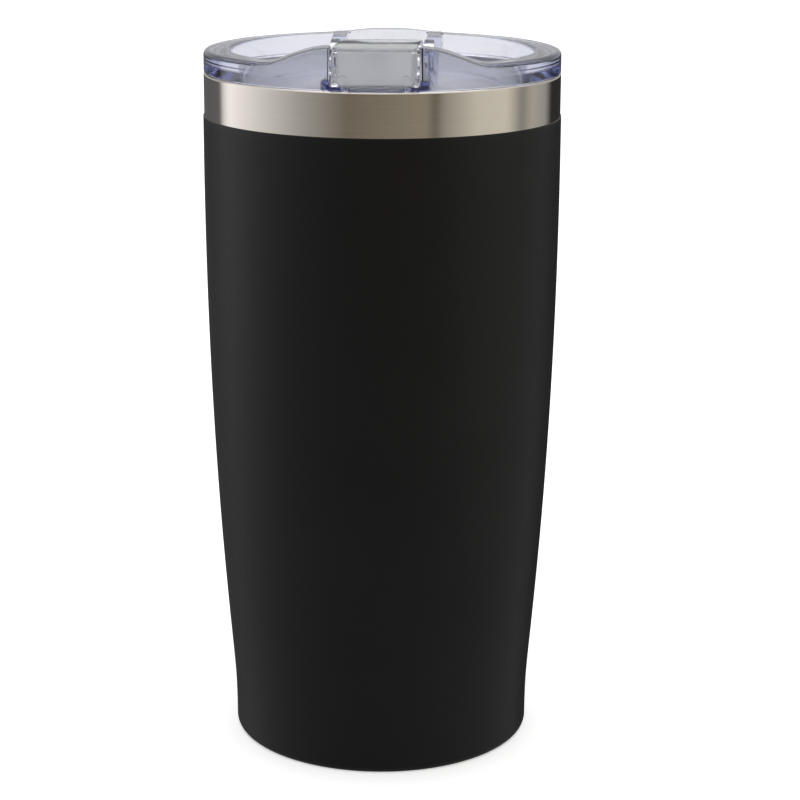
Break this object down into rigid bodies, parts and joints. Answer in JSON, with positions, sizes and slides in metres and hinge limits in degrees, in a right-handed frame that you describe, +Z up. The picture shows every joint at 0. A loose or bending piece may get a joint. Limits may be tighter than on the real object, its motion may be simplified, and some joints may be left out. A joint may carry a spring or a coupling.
{
  "type": "insulated tumbler",
  "caption": "Double-wall steel tumbler, black coated and tapered, with a bare steel rim band and a clear push-on lid that has a flip tab over the drinking opening.",
  "frame": {"origin": "centre of the foot, on the surface the cup stands on", "axes": "+Z up through the cup, -Y towards the drinking side, +X to the right as seen from the drinking side"},
  "size_m": [0.087, 0.0873, 0.1772],
  "materials": {
    "black_coat": "satin black powder coat",
    "brushed_steel": "stainless, brushed around the rim",
    "liner_steel": "electropolished stainless",
    "base_steel": "spun stainless",
    "copper": "bright copper foil",
    "solder_glass": "fused bead",
    "getter_metal": "sintered pill",
    "clear_plastic": "clear moulded plastic with a faint blue tint",
    "silicone": "translucent silicone",
    "pin_steel": "ground pin"
  },
  "bodies": {
    "cup": {"powder_coat": "black_coat", "outer_shell": "brushed_steel", "inner_liner": "liner_steel", "copper_foil": "copper", "outer_base": "base_steel", "seal_bead": "solder_glass", "getter_holder": "base_steel", "getter": "getter_metal", "base_cover": "base_steel"},
    "lid": {"lid_body": "clear_plastic", "lid_gasket": "silicone", "hinge_pin": "pin_steel"},
    "tab": {"flip_tab": "clear_plastic", "tab_stopper": "silicone"}
  },
  "joints": [
    {"name": "lid_lift", "type": "slide", "parent": "cup", "child": "lid", "axis": [0, 0, 1], "range_m": [0, 0.06]},
    {"name": "tab_flip", "type": "hinge", "parent": "lid", "child": "tab", "pos_m": [0, 0, 0.1724], "axis": [-1, 0, 0], "range_deg": [0, 168]}
  ]
}
